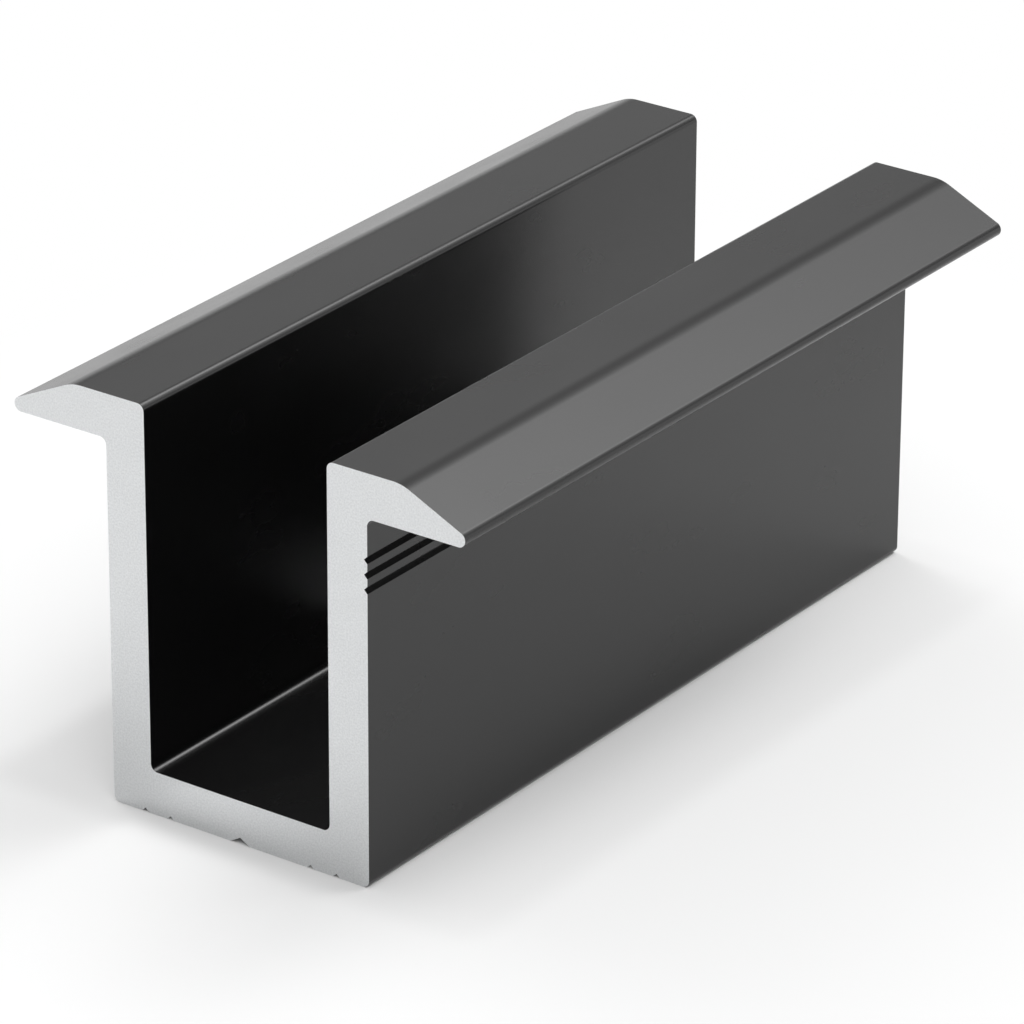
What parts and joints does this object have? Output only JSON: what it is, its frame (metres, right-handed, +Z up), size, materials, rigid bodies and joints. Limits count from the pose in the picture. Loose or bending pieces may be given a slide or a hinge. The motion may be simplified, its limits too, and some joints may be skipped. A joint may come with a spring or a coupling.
{
  "type": "solar mid clamp",
  "caption": "Black anodised hat-section channel whose sloping side flanges hold neighbouring solar panel frames down on a rail, with a bolt hole through its floor.",
  "frame": {"origin": "centre of the underside, on the axis of the bolt hole", "axes": "+Z up, out of the channel's mouth; +Y along the extrusion; +X across the section, towards the grooved wall"},
  "size_m": [0.0344, 0.06, 0.028],
  "materials": {
    "anodised": "satin black anodised on every extruded face, bare satin aluminium on the sawn ends and in the drilled hole"
  },
  "bodies": {
    "root": {"clamp_body": "anodised"}
  },
  "joints": []
}
